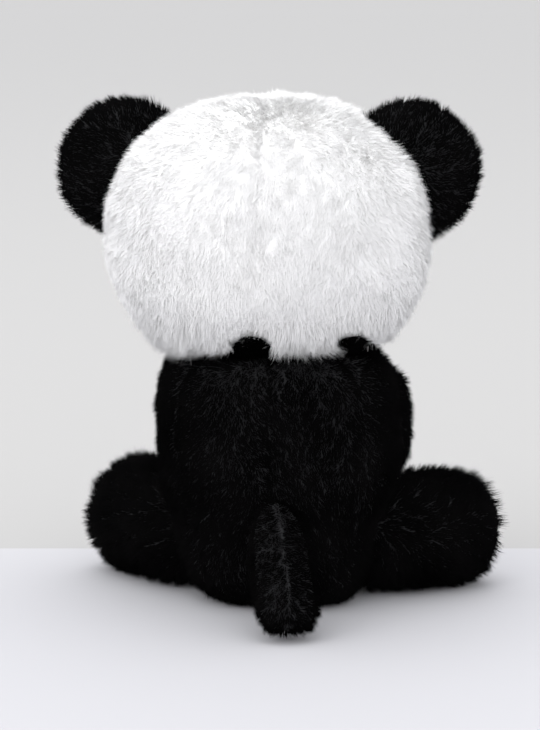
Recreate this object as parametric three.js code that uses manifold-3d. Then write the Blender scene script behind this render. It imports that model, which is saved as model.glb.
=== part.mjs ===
// Sitting plush panda: a stuffed toy sewn from long-pile fur panels, about 280 mm tall.
// Millimetres, +Z up, the seat on z = 0, the face looking toward -Y, the toy's left side at +X.
// Every padded part is a plain shell of sewn panels round its own stuffing.
import * as THREE from 'three';
import { mergeVertices } from 'three/addons/utils/BufferGeometryUtils.js';
import Module from 'manifold-3d';

const wasm = await Module();
wasm.setup();

// ---- driving dimensions -------------------------------------------------------------------

const WALL = 3; // fur fabric, its pile pressed down
const SEAM = 0.3; // gap left between two sewn pieces, or between a panel and its stuffing
const PLAY = 0.5; // room round anything that turns
const SIDES = { left: 1, right: -1 };

const TORSO = { half: [63, 53, 73], across: 2.4, upright: [4, 6], cut: 3 }; // cut flat under it
const TORSO_AT = [0, 0, TORSO.half[2] - TORSO.cut];
const HEAD = { aside: 6, ahead: 4, sunk: 8, half: [88, 68, 71], across: 2.15, upright: [2.7, 2.25] };
const HEAD_AT = [HEAD.aside, -HEAD.ahead, TORSO_AT[2] + TORSO.half[2] - HEAD.sunk + HEAD.half[2]];
const SEAT_EDGE = 11; // height of the seam round the seat panel
const BACK_SEAM = 50; // degrees from the back centre line to each side panel
const BELLY_SEAM = 110; // degrees from the back centre line to the belly panel

const NECK = { ahead: 3, radius: 23 }; // a ball that rests on the torso's filling, inside the head
const NECK_AT = [HEAD.aside / 2, -NECK.ahead, HEAD_AT[2] - HEAD.half[2] + NECK.radius];
const DISH = { rise: 4.5, spread: 4 }; // hollow under the head, larger than the shoulders by this

const EAR = { sewn: 11, ahead: 2, up: 29, half: [38, 13, 38], wall: 2.5, fold: 20 };
const EAR_FROM = [HEAD.half[0] - EAR.sewn, -EAR.ahead, EAR.up];

const ARM = {
  facing: 41, // degrees the shoulder seam is turned from the side toward the front
  height: 107,
  slide: 6, // how far back along the body the shoulder sits
  length: 35,
  lean: 24, // degrees the arm hangs forward of upright
  radii: [16.5, 18],
  flat: 0.68,
  seam: { radius: 13, depth: 2.6 },
  wall: 2.6,
};

const LEG = {
  inside: 14, // how far the hip is in from the torso's side
  ahead: 17,
  splay: { left: 46, right: 62 }, // degrees the leg points away from straight ahead
  radii: [24, 26],
  length: 42,
  foot: { reach: 50, half: [20, 28, 31.5], sole: 11 },
  swing: [-12, 15],
  room: 1.4, // between the thigh and the torso, so that it clears at every angle
  clear: 4, // under the thigh
};
const HIP = [TORSO.half[0] - LEG.inside, -LEG.ahead, LEG.radii[1] + LEG.clear];

const TAIL = {
  aside: 5,
  height: 57,
  aim: 15, // degrees it lies toward the toy's right
  slope: 47, // degrees below level
  length: 57,
  radii: [15, 16],
  flat: 0.72,
  lift: 45,
};
const TAIL_ROOT = [-TAIL.aside, TORSO.half[1], TAIL.height];

const PATCH = { at: [31, 24], half: [15, 20], tilt: 28, thick: 1.6 };
const EYE = { at: [27, 23], radius: 6.5, dome: 4.2, shank: 2.2, length: 15, seat: 1.2 };
const WASHER = { radius: 6, thick: 1.4, behind: 2.8 };
const MUZZLE = { sunk: 8, down: 18, half: [25, 17, 18], wall: 2.4 };
const MUZZLE_AT = [HEAD_AT[0], HEAD_AT[1] - HEAD.half[1] + MUZZLE.sunk, HEAD_AT[2] - MUZZLE.down];
const NOSE = { sunk: 0.5, up: 7, half: [8, 4, 5.5] };
const NOSE_AT = [HEAD_AT[0], MUZZLE_AT[1] - MUZZLE.half[1] + NOSE.sunk, MUZZLE_AT[2] + NOSE.up];
const POUCH = { back: 14, up: 9, half: [25, 21, 15] };
const POUCH_AT = [0, POUCH.back, POUCH.half[2] + POUCH.up];

const FINE = [22, 14]; // facets round and up a large outer surface
const PLAIN = [18, 10];
const SMALL = [12, 8];
const ROUND = 12; // facets round a limb
const CAP = 3; // steps in a rounded end
const BALL = [16, 10]; // a ball that turns in a socket

// ---- solids -------------------------------------------------------------------------------

const radians = THREE.MathUtils.degToRad;
const vector = (list) => new THREE.Vector3(...list);
const mirrored = (list, side) => [list[0] * side, list[1], list[2]];

/** A closed three.js geometry as a Manifold solid with its faces outward. */
function solid(geometry) {
  const bare = new THREE.BufferGeometry();
  bare.setAttribute('position', geometry.attributes.position.clone());
  if (geometry.index) bare.setIndex(geometry.index.clone());
  const joined = mergeVertices(bare, 1e-4);
  const place = joined.attributes.position.array;
  const index = joined.index.array;
  const faces = [];
  let volume = 0;
  for (let i = 0; i < index.length; i += 3) {
    const [a, b, c] = [index[i], index[i + 1], index[i + 2]];
    if (a === b || b === c || c === a) continue;
    faces.push(a, b, c);
    const [p, q, r] = [a, b, c].map((n) => new THREE.Vector3().fromArray(place, 3 * n));
    volume += p.dot(q.cross(r));
  }
  const outward = volume > 0 ? faces : faces.reverse();
  return new wasm.Manifold(new wasm.Mesh({
    numProp: 3,
    vertProperties: new Float32Array(place),
    triVerts: new Uint32Array(outward),
  }));
}

/** A rounded block: an ellipsoid made boxier by its powers (below and above), drawn in by inset. */
function egg(at, { half, across = 2, upright = [2, 2] }, inset, facets) {
  const ball = new THREE.SphereGeometry(1, ...facets).rotateX(Math.PI / 2);
  const place = ball.attributes.position;
  const v = new THREE.Vector3();
  for (let i = 0; i < place.count; i++) {
    v.fromBufferAttribute(place, i);
    const level = (Math.abs(v.x) ** across + Math.abs(v.y) ** across) ** (1 / across);
    const power = upright[v.z < 0 ? 0 : 1];
    const size = (level ** power + Math.abs(v.z) ** power) ** (-1 / power);
    place.setXYZ(i, ...v.multiplyScalar(size));
  }
  ball.scale(...half.map((h) => h - inset)).translate(...at);
  return solid(ball);
}

/** A tapered, round-ended pod from one point to another, thinned along one direction. */
function pod({ from, to, radii, thin = [0, 0, 1], flat = 1 }, inset) {
  const [start, end] = [vector(from), vector(to)];
  const reach = start.distanceTo(end);
  const [first, last] = radii.map((r) => r - inset);
  const line = [new THREE.Vector2(0, -first)];
  for (let i = 1; i <= CAP; i++) {
    const t = (i / CAP) * (Math.PI / 2);
    line.push(new THREE.Vector2(first * Math.sin(t), -first * Math.cos(t)));
  }
  for (let i = 0; i < CAP; i++) {
    const t = (i / CAP) * (Math.PI / 2);
    line.push(new THREE.Vector2(last * Math.cos(t), reach + last * Math.sin(t)));
  }
  line.push(new THREE.Vector2(0, reach + last));
  const along = end.clone().sub(start).normalize();
  const wide = along.clone().cross(vector(thin)).normalize();
  const deep = wide.clone().cross(along);
  const body = new THREE.LatheGeometry(line, ROUND).scale(1, 1, flat);
  body.applyMatrix4(new THREE.Matrix4().makeBasis(wide, along, deep).setPosition(start));
  return solid(body);
}

/** A round bar or disc centred on a line from one point along a direction. */
function disc(from, direction, radius, low, high, sides = 24) {
  const bar = new THREE.CylinderGeometry(radius, radius, high - low, sides);
  bar.translate(0, (low + high) / 2, 0);
  const turn = new THREE.Quaternion().setFromUnitVectors(
    new THREE.Vector3(0, 1, 0),
    vector(direction).normalize(),
  );
  return solid(bar.applyQuaternion(turn).translate(...from));
}

/** A solid turned about an axis through a point, by degrees. */
function turned(body, point, axis, degrees) {
  const spin = new THREE.Matrix4().makeRotationAxis(vector(axis).normalize(), radians(degrees));
  const there = new THREE.Matrix4().makeTranslation(...point);
  const back = there.clone().invert();
  return body.transform([...there.multiply(spin).multiply(back).elements]);
}

/** What is left of a child clear of its parent at each angle of their hinge. */
function cleared(child, parent, point, axis, angles) {
  return angles.reduce((rest, a) => rest.subtract(turned(parent, point, axis, -a)), child);
}

/** The side of a solid that a direction points to, beyond a distance from the origin. */
const beyond = (body, direction, distance) => body.trimByPlane(direction, distance);
const opposite = (direction) => direction.map((d) => -d);
const along = (direction, point) => direction.reduce((sum, d, i) => sum + d * point[i], 0);

/** The part on one side of a seam plane, half a seam gap back from it. */
const side = (body, direction, at = 0) => beyond(body, direction, at + SEAM / 2);

const object = new THREE.Group();
object.name = 'plush_panda';

const LOOKS = {
  white_fur: ['#f1efec', 0.95],
  black_fur: ['#17161a', 0.95],
  pad_plush: ['#2b2a2f', 0.9],
  stuffing: ['#e9e6df', 1],
  pouch: ['#cfc8ba', 0.9],
  eye_plastic: ['#0b0b0d', 0.12],
  washer_plastic: ['#dcdcd8', 0.5],
  thread: ['#121214', 0.7],
};

/** Adds a named piece with its own material. */
function piece(name, body, look) {
  const mesh = body.getMesh();
  const geometry = new THREE.BufferGeometry();
  const corners = new Float32Array(mesh.vertProperties);
  geometry.setAttribute('position', new THREE.BufferAttribute(corners, 3));
  geometry.setIndex(new THREE.BufferAttribute(new Uint32Array(mesh.triVerts), 1));
  geometry.computeVertexNormals();
  const [color, roughness] = LOOKS[look];
  const made = new THREE.Mesh(
    geometry,
    new THREE.MeshStandardMaterial({ color, roughness, metalness: 0 }),
  );
  made.name = name;
  object.add(made);
}

// ---- shared shapes ------------------------------------------------------------------------

const head = (inset, facets = PLAIN) => egg(HEAD_AT, HEAD, inset, facets);
const torso = (inset, facets = PLAIN) => beyond(egg(TORSO_AT, TORSO, inset, facets), [0, 0, 1], inset);
const ball = (at, radius, inset) => egg(at, { half: [radius, radius, radius] }, inset, BALL);
/** A socket's flats stand as far off as a ball's corners, so that one turns inside the other. */
const FLATS = Math.cos(Math.PI / BALL[0]) * Math.cos(Math.PI / (2 * BALL[1]));
const socket = (at, radius, margin) => ball(at, (radius + PLAY + margin) / FLATS, 0);
const neckBall = (inset) => ball(NECK_AT, NECK.radius, inset);
const neckSocket = (margin) => socket(NECK_AT, NECK.radius, margin);

/** Everything needed to place one leg on its side. */
function legFrame(word) {
  const sign = SIDES[word];
  const out = radians(LEG.splay[word]);
  const ahead = [sign * Math.sin(out), -Math.cos(out), 0];
  const across = [ahead[1], -ahead[0], 0];
  const hip = mirrored(HIP, sign);
  const reached = (distance) => hip.map((h, i) => h + ahead[i] * distance);
  return { out, ahead, across, hip, reached, axis: [0, 0, sign] };
}

const hipBall = (frame, inset) => ball(frame.hip, LEG.radii[0], inset);

/** Everything needed to place one arm on its side: outward and tangent directions. */
function armFrame(sign) {
  const face = radians(ARM.facing);
  const out = [sign * Math.cos(face), -Math.sin(face), 0];
  const rear = [sign * Math.sin(face), Math.cos(face), 0];
  const skin = torso(0, FINE).getMesh().vertProperties;
  let reach = 0;
  for (let i = 0; i < skin.length; i += 3) {
    reach = Math.max(reach, along(out, [skin[i], skin[i + 1], skin[i + 2]]));
  }
  const shoulder = out.map((o, i) => o * reach + rear[i] * ARM.slide + (i === 2 ? ARM.height : 0));
  return { out, rear, reach, shoulder };
}

const tailAim = radians(TAIL.aim);
const tailAcross = [Math.cos(tailAim), Math.sin(tailAim), 0];
const tailAway = [-Math.sin(tailAim), Math.cos(tailAim), 0];
/** The round root of the tail, a bar along its hinge. */
const tailRoot = (inset) =>
  disc(
    TAIL_ROOT,
    tailAcross,
    TAIL.radii[0] * TAIL.flat - inset,
    inset - TAIL.radii[0],
    TAIL.radii[0] - inset,
    ROUND,
  );

// ---- torso: six body panels, a seat panel, stuffing and a pellet pouch ---------------------

{
  const sockets = [neckSocket(0), tailRoot(-PLAY)];
  const shoulders = [];
  for (const [word, sign] of Object.entries(SIDES)) {
    sockets.push(socket(legFrame(word).hip, LEG.radii[0], 0));
    const { out, shoulder } = armFrame(sign);
    shoulders.push(disc(shoulder, out, ARM.seam.radius + PLAY, -WALL - SEAM / 2, WALL));
  }
  const open = (body) => sockets.reduce((rest, s) => rest.subtract(s), body);
  const inner = torso(WALL);
  const shell = shoulders.reduce((rest, s) => rest.subtract(s), open(torso(0, FINE).subtract(inner)));
  const upper = side(shell, [0, 0, 1], SEAT_EDGE);
  /** Direction a seam plane through the middle of the torso faces, by degrees from the back. */
  const facing = (degrees) => [Math.cos(radians(degrees)), -Math.sin(radians(degrees)), 0];
  for (const [word, sign] of Object.entries(SIDES)) {
    const own = (direction) => [direction[0] * sign, direction[1], 0];
    const half = side(upper, [sign, 0, 0]);
    const [rear, front] = [own(facing(BACK_SEAM)), own(facing(BELLY_SEAM))];
    piece(`back_panel_${word}`, side(half, opposite(rear)), 'black_fur');
    piece(`side_panel_${word}`, side(side(half, rear), opposite(front)), 'black_fur');
  }
  const [left, right] = Object.values(SIDES).map((sign) => {
    const [x, y] = facing(BELLY_SEAM);
    return [x * sign, y, 0];
  });
  piece('belly_panel', side(side(upper, left), right), 'white_fur');
  piece('seat_panel', side(shell, [0, 0, -1], -SEAT_EDGE), 'black_fur');
  const filling = open(torso(WALL + SEAM)).subtract(egg(POUCH_AT, POUCH, -SEAM, SMALL));
  const [wide, deep] = POUCH.half;
  const slot = egg([0, POUCH.back, 0], { half: [wide, deep, POUCH_AT[2]] }, 0, SMALL);
  piece('torso_stuffing', filling.subtract(slot), 'stuffing');
  piece('pellet_pouch', egg(POUCH_AT, POUCH, 0, SMALL), 'pouch');
}

piece('neck_stuffing', neckBall(0), 'stuffing');

// ---- head: two back panels, a face panel, stuffing, ears and the face ----------------------

/** The hollow that the shoulders and the neck leave under the head, grown by a margin. */
const hollow = (margin) => {
  const wide = TORSO.half[0] + DISH.spread + margin;
  const tall = TORSO.half[2] + DISH.rise + margin;
  return egg(TORSO_AT, { ...TORSO, half: [wide, wide, tall] }, 0, PLAIN).add(neckSocket(margin));
};

/** A frame on the front of the head, at a sideways and upward offset from its centre. */
function faceFrame(x, z, lift = 0) {
  const [a, b, c] = HEAD.half.map((h) => h + lift);
  const upright = HEAD.upright[z < 0 ? 0 : 1];
  const flat = (Math.abs(x) / a) ** HEAD.across;
  const high = (Math.abs(z) / c) ** upright;
  const level = ((1 - high) ** (HEAD.across / upright) - flat) ** (1 / HEAD.across);
  const ring = (flat + level ** HEAD.across) ** (upright / HEAD.across - 1);
  const normal = new THREE.Vector3(
    (ring * Math.sign(x) * (Math.abs(x) / a) ** (HEAD.across - 1)) / a,
    (-ring * level ** (HEAD.across - 1)) / b,
    (Math.sign(z) * (Math.abs(z) / c) ** (upright - 1)) / c,
  ).normalize();
  return { point: [HEAD_AT[0] + x, HEAD_AT[1] - b * level, HEAD_AT[2] + z], normal: [...normal] };
}

const muzzle = (inset) => egg(MUZZLE_AT, MUZZLE, inset, SMALL);

/** One eye: a domed safety eye whose shank passes the patch and the face into a washer. */
function eyeParts(sign) {
  const { point, normal } = faceFrame(EYE.at[0] * sign, EYE.at[1], PATCH.thick + SEAM);
  const profile = [new THREE.Vector2(0, -EYE.length), new THREE.Vector2(EYE.shank, -EYE.length)];
  profile.push(new THREE.Vector2(EYE.shank, EYE.seat), new THREE.Vector2(EYE.radius, EYE.seat));
  for (let i = 1; i <= CAP; i++) {
    const t = (i / CAP) * (Math.PI / 2);
    profile.push(new THREE.Vector2(EYE.radius * Math.cos(t), EYE.seat + EYE.dome * Math.sin(t)));
  }
  profile[profile.length - 1].x = 0;
  const turn = new THREE.Quaternion().setFromUnitVectors(new THREE.Vector3(0, 1, 0), vector(normal));
  const eye = solid(new THREE.LatheGeometry(profile, ROUND).applyQuaternion(turn).translate(...point));
  const back = -PATCH.thick - WALL - WASHER.behind;
  const ring = (grow) =>
    disc(point, normal, WASHER.radius + grow, back - SEAM - WASHER.thick - grow, back - SEAM + grow);
  const hole = disc(point, normal, EYE.shank + SEAM, -EYE.length - SEAM, EYE.seat);
  const washer = ring(0).subtract(hole);
  return { eye, washer, pocket: ring(SEAM).add(hole), hole, point, normal };
}

{
  const opened = head(0, FINE).subtract(hollow(0));
  const filled = head(WALL).subtract(hollow(WALL));
  const shell = opened.subtract(filled);
  let face = side(shell, [0, -1, 0], -HEAD_AT[1]);
  let filling = head(WALL + SEAM).subtract(hollow(WALL + SEAM));
  const cheeks = muzzle(0).subtract(head(-SEAM, FINE));
  for (const [word, sign] of Object.entries(SIDES)) {
    const rear = side(side(shell, [0, 1, 0], HEAD_AT[1]), [sign, 0, 0], HEAD_AT[0] * sign);
    piece(`head_back_${word}`, rear, 'white_fur');
    const parts = eyeParts(sign);
    face = face.subtract(parts.hole);
    filling = filling.subtract(parts.pocket);
    const spot = faceFrame(PATCH.at[0] * sign, PATCH.at[1]);
    const oval = new THREE.CylinderGeometry(1, 1, 2 * PATCH.half[0], ROUND);
    oval.scale(PATCH.half[0], 1, PATCH.half[1]).rotateY(radians(-PATCH.tilt * sign));
    oval.applyQuaternion(new THREE.Quaternion().setFromUnitVectors(
      new THREE.Vector3(0, 1, 0),
      vector(spot.normal),
    ));
    const layer = head(-PATCH.thick - SEAM, FINE).subtract(head(-SEAM, FINE));
    const patch = layer.intersect(solid(oval.translate(...spot.point)));
    piece(`eye_patch_${word}`, patch.subtract(parts.hole).subtract(muzzle(-SEAM)), 'black_fur');
    piece(`safety_eye_${word}`, parts.eye, 'eye_plastic');
    piece(`eye_washer_${word}`, parts.washer, 'washer_plastic');
  }
  piece('face_panel', face, 'white_fur');
  piece('head_stuffing', filling, 'stuffing');
  const skinOut = cheeks.subtract(muzzle(MUZZLE.wall));
  piece('muzzle_panel', skinOut, 'white_fur');
  piece('muzzle_stuffing', muzzle(MUZZLE.wall + SEAM).subtract(head(-SEAM, FINE)), 'stuffing');
  piece('nose', egg(NOSE_AT, NOSE, 0, SMALL).subtract(muzzle(-SEAM)), 'thread');
}

// ---- ears ---------------------------------------------------------------------------------

for (const [word, sign] of Object.entries(SIDES)) {
  const at = mirrored(EAR_FROM, sign).map((d, i) => d + HEAD_AT[i]);
  const shape = (inset) => egg(at, EAR, inset, SMALL);
  const [a, , c] = HEAD.half;
  const lean = new THREE.Vector3((at[0] - HEAD_AT[0]) / a ** 2, 0, (at[2] - HEAD_AT[2]) / c ** 2);
  const axis = [...lean.normalize().cross(new THREE.Vector3(0, sign, 0))];
  const angles = [-EAR.fold, -EAR.fold / 2, 0, EAR.fold / 2, EAR.fold];
  const clear = (body, margin) => cleared(body, head(-margin, FINE), at, axis, angles);
  const outer = clear(shape(0), SEAM);
  const inner = clear(shape(EAR.wall), SEAM + EAR.wall);
  const shell = outer.subtract(inner);
  piece(`ear_back_${word}`, side(shell, [0, 1, 0], at[1]), 'black_fur');
  piece(`ear_front_${word}`, side(shell, [0, -1, 0], -at[1]), 'black_fur');
  piece(`ear_wadding_${word}`, clear(shape(EAR.wall + SEAM), 2 * SEAM + EAR.wall), 'stuffing');
}

// ---- arms ---------------------------------------------------------------------------------

for (const [word, sign] of Object.entries(SIDES)) {
  const { out, rear, shoulder } = armFrame(sign);
  const thick = ARM.radii[1] * ARM.flat;
  const from = shoulder.map((s, i) => s + out[i] * (thick + PLAY));
  const lean = radians(ARM.lean);
  const down = rear.map((r, i) => -r * Math.sin(lean) - (i === 2 ? Math.cos(lean) : 0));
  const to = from.map((f, i) => f + down[i] * ARM.length);
  const arm = (inset) => pod({ from, to, radii: ARM.radii, thin: out, flat: ARM.flat }, inset);
  const tab = (inset) =>
    disc(shoulder, out, ARM.seam.radius - inset, inset - ARM.seam.depth, thick - inset);
  const outer = arm(0).add(tab(0));
  const inner = arm(ARM.wall).add(tab(ARM.wall));
  const shell = outer.subtract(inner);
  const middle = along(out, from);
  piece(`arm_outer_${word}`, side(shell, out, middle), 'black_fur');
  piece(`arm_inner_${word}`, side(shell, opposite(out), -middle), 'black_fur');
  piece(`arm_stuffing_${word}`, arm(ARM.wall + SEAM).add(tab(ARM.wall + SEAM)), 'stuffing');
}

// ---- legs ---------------------------------------------------------------------------------

for (const [word, sign] of Object.entries(SIDES)) {
  const frame = legFrame(word);
  const { out, ahead, across, hip, reached, axis } = frame;
  const [low, high] = LEG.swing;
  const steps = [low, 0, high];
  const foot = (inset) => {
    const shape = egg([0, 0, 0], LEG.foot, inset, SMALL);
    const faced = shape.rotate([0, 0, (THREE.MathUtils.radToDeg(out) - 90) * sign]);
    const place = reached(LEG.foot.reach);
    return faced.translate([place[0], place[1], LEG.foot.half[2]]);
  };
  const thigh = (inset) => pod({ from: hip, to: reached(LEG.length), radii: LEG.radii }, inset);
  const leg = (inset, margin) => {
    const limb = thigh(inset).add(foot(inset));
    return hipBall(frame, inset).add(cleared(limb, torso(-margin, FINE), hip, axis, steps));
  };
  const shell = leg(0, LEG.room).subtract(leg(WALL, LEG.room + WALL));
  const end = along(ahead, reached(LEG.foot.reach + LEG.foot.sole));
  const middle = along(across, hip);
  const upper = side(shell, opposite(ahead), -end);
  piece(`leg_outer_${word}`, side(upper, opposite(across), -middle), 'black_fur');
  piece(`leg_inner_${word}`, side(upper, across, middle), 'black_fur');
  piece(`foot_sole_${word}`, side(shell, ahead, end), 'pad_plush');
  piece(`leg_stuffing_${word}`, leg(WALL + SEAM, LEG.room + WALL + SEAM), 'stuffing');
}

// ---- tail ---------------------------------------------------------------------------------

{
  const slope = radians(TAIL.slope);
  const down = [tailAway[0] * Math.cos(slope), tailAway[1] * Math.cos(slope), -Math.sin(slope)];
  const to = TAIL_ROOT.map((r, i) => r + down[i] * TAIL.length);
  const thin = vector(tailAcross).cross(vector(down)).toArray();
  const bar = (inset) => pod({ from: TAIL_ROOT, to, radii: TAIL.radii, thin, flat: TAIL.flat }, inset);
  const angles = [0, TAIL.lift / 3, (2 * TAIL.lift) / 3, TAIL.lift];
  const tail = (inset, margin) =>
    tailRoot(inset).add(cleared(bar(inset), torso(-margin, FINE), TAIL_ROOT, tailAcross, angles));
  const shell = tail(0, PLAY).subtract(tail(WALL, PLAY + WALL));
  const middle = along(tailAcross, TAIL_ROOT);
  piece('tail_panel_left', side(shell, tailAcross, middle), 'black_fur');
  piece('tail_panel_right', side(shell, opposite(tailAcross), -middle), 'black_fur');
  piece('tail_stuffing', tail(WALL + SEAM, PLAY + WALL + SEAM), 'stuffing');
}

export default object;
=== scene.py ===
"""Looks of a sitting plush panda, sewn from long-pile fur cloth round loose stuffing.

Shapes are worked out in millimetres in the toy's own frame (+Z up, face toward -Y, its left at +X)
and put into meshes in metres. Each limb is a closed cloth skin with a fibre filling inside it, and
the pile that stands on the skin is real geometry, one piece to each sewn panel.
"""

import bpy
import numpy as np
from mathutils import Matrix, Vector


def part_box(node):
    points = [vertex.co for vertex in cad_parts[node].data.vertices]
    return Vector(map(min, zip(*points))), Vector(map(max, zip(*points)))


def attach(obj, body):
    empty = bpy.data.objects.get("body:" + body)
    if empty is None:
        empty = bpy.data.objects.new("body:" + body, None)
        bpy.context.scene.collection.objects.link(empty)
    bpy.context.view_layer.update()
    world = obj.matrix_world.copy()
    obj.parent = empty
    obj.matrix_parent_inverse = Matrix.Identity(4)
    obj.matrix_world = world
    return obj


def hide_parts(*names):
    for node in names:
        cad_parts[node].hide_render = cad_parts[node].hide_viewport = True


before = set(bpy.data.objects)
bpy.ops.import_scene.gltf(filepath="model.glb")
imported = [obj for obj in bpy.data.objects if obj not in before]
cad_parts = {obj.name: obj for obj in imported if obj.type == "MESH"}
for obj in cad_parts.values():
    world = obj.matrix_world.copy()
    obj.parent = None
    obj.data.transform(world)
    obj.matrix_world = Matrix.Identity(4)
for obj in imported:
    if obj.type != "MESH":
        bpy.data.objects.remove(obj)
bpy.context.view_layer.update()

# ---- head ---------------------------------------------------------------------------------
# The head is a wide ball of white fur cloth: two back panels meet at a centre seam, and one face
# panel closes the front. The cloth is sewn inside out, turned, and filled hard with fibre.

MM = 0.001
TURN = 2 * np.pi
HEAD_AT = np.array([6.0, -4.0, 204.8])
HEAD_HALF = np.array([86.3, 66.4, 68.6])
HEAD_SHAPE = (HEAD_AT, HEAD_HALF, 2.15, 2.7, 2.25)


def unit(a):
    """Each vector divided by its length."""
    return a / np.maximum(np.linalg.norm(a, axis=-1, keepdims=True), 1e-9)


def smooth(x):
    """A soft step from 0 to 1: 3x^2 - 2x^3 between the two."""
    x = np.clip(x, 0, 1)
    return x * x * (3 - 2 * x)


def block(u, v, at, half, across, low, high):
    """A boxy ellipsoid: the direction at spin u and tilt v, from +Y toward +X and from below to
    above, scaled until (|x|^across + |y|^across)^(power/across) + |z|^power = 1, then stretched."""
    spin, tilt = TURN * u, np.pi * (v - 0.5)
    d = np.stack([np.cos(tilt) * np.sin(spin), np.cos(tilt) * np.cos(spin), np.sin(tilt)], -1)
    level = (np.abs(d[..., 0]) ** across + np.abs(d[..., 1]) ** across) ** (1 / across)
    power = np.where(d[..., 2] < 0, low, high)
    size = (level**power + np.abs(d[..., 2]) ** power) ** (-1 / power)
    return at + half * d * size[..., None]


def depth_in(p, at, half, across, low, high):
    """How far out a point is in a block: below 1 inside it, 1 on it, above 1 outside."""
    q = np.abs((p - at) / half)
    level = (q[..., 0] ** across + q[..., 1] ** across) ** (1 / across)
    power = np.where(p[..., 2] < at[2], low, high)
    return (level**power + q[..., 2] ** power) ** (1 / power)


def ripple(p, wave, seed):
    """A smooth random field from about -1 to 1: seven sine waves of one length, each with its own
    direction and phase, added up."""
    rng = np.random.default_rng(seed)
    ways = unit(rng.normal(size=(7, 3))) * TURN / wave
    phases = rng.uniform(0, TURN, 7)
    return np.sin(p @ ways.T + phases).sum(-1) / 3.2


def groove(distance, width, depth):
    """The dip that a seam pulls into the cloth: a bell curve across it."""
    return depth * np.exp(-((distance / width) ** 2))


def head_skin(u, v):
    """The head's block, pushed outward by a long ripple and pulled in along its seams."""
    p = block(u, v, *HEAD_SHAPE)
    out = unit((p - HEAD_AT) / HEAD_HALF)
    swell = 1.1 * ripple(p, 80, 3) + 0.4 * ripple(p, 26, 4)
    back = groove(p[..., 0] - HEAD_AT[0], 4.0, 1.5) * (p[..., 1] > HEAD_AT[1])
    sides = groove(p[..., 1] - HEAD_AT[1], 3.0, 1.2)
    return p + out * (swell - back - sides)[..., None]


def new_look(name):
    """A new material with the node tree that feeds its shader."""
    look = bpy.data.materials.new(name)
    look.use_nodes = True
    return look, look.node_tree.nodes, look.node_tree.links, look.node_tree.nodes["Principled BSDF"]


def ramp(nodes, stops):
    """A colour ramp with these (place, colour) stops."""
    node = nodes.new("ShaderNodeValToRGB")
    points = node.color_ramp.elements
    while len(points) < len(stops):
        points.new(0.5)
    for point, (place, colour) in zip(points, stops):
        point.position = place
        point.color = (*colour, 1)
    return node


def mottled_look(name, stops, scale, detail=2, **settings):
    """A colour that wanders between the stops by a noise of this scale per metre. The settings are
    shader sockets by name, with _ for a space."""
    look, nodes, links, shader = new_look(name)
    place = nodes.new("ShaderNodeTexCoord")
    mottle = nodes.new("ShaderNodeTexNoise")
    mottle.inputs["Scale"].default_value = scale
    mottle.inputs["Detail"].default_value = detail
    tint = ramp(nodes, stops)
    links.new(place.outputs["Object"], mottle.inputs["Vector"])
    links.new(mottle.outputs["Fac"], tint.inputs["Fac"])
    links.new(tint.outputs["Color"], shader.inputs["Base Color"])
    for setting, value in settings.items():
        shader.inputs[setting.replace("_", " ")].default_value = value
    return look, nodes, links, shader, place


def cloth_look(name, colour, shade, sheen=0.2):
    """Knitted backing cloth seen between the hairs: a mottled colour and a fine woven bump."""
    look, nodes, links, shader, place = mottled_look(
        name, [(0.3, shade), (0.7, colour)], 260, 3, Roughness=0.95, Sheen_Weight=sheen)
    weave = nodes.new("ShaderNodeTexVoronoi")
    weave.inputs["Scale"].default_value = 900
    bump = nodes.new("ShaderNodeBump")
    bump.inputs["Strength"].default_value = 0.3
    bump.inputs["Distance"].default_value = 0.0003
    links.new(place.outputs["Object"], weave.inputs["Vector"])
    links.new(weave.outputs["Distance"], bump.inputs["Height"])
    links.new(bump.outputs["Normal"], shader.inputs["Normal"])
    return look


def pile_look(name, stops, tone_and_sheen, roughness, sheen, shine):
    """Fur fibre. U of the piece's map is the hair's own tint and V runs from its root to its tip:
    the colour along the hair, darker at the root as painted shade between the hairs and lighter at
    the tip as painted light, multiplied by the colour for its tint."""
    look, nodes, links, shader = new_look(name)
    place = nodes.new("ShaderNodeUVMap")
    place.uv_map = "OFBake"
    split = nodes.new("ShaderNodeSeparateXYZ")
    # The ramp along the hair: the darker roots are painted shade between the hairs, the lighter tips
    # painted light.
    length = ramp(nodes, stops)
    # Each hair's own tint: random tone, which on the black pile also makes lighter patches of painted
    # sheen.
    own = ramp(nodes, tone_and_sheen)
    mixed = nodes.new("ShaderNodeMix")
    mixed.data_type = "RGBA"
    mixed.blend_type = "MULTIPLY"
    mixed.inputs["Factor"].default_value = 1
    links.new(place.outputs["UV"], split.inputs["Vector"])
    links.new(split.outputs["X"], own.inputs["Fac"])
    links.new(split.outputs["Y"], length.inputs["Fac"])
    links.new(length.outputs["Color"], mixed.inputs["A"])
    links.new(own.outputs["Color"], mixed.inputs["B"])
    links.new(mixed.outputs["Result"], shader.inputs["Base Color"])
    shader.inputs["Roughness"].default_value = roughness
    shader.inputs["Specular IOR Level"].default_value = shine
    shader.inputs["Sheen Weight"].default_value = sheen
    shader.inputs["Sheen Roughness"].default_value = 0.4
    return look


def put(name, mesh, look):
    """The mesh as an object in the scene, with its material."""
    mesh.materials.append(look)
    piece = bpy.data.objects.new(name, mesh)
    bpy.context.scene.collection.objects.link(piece)
    return piece


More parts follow.
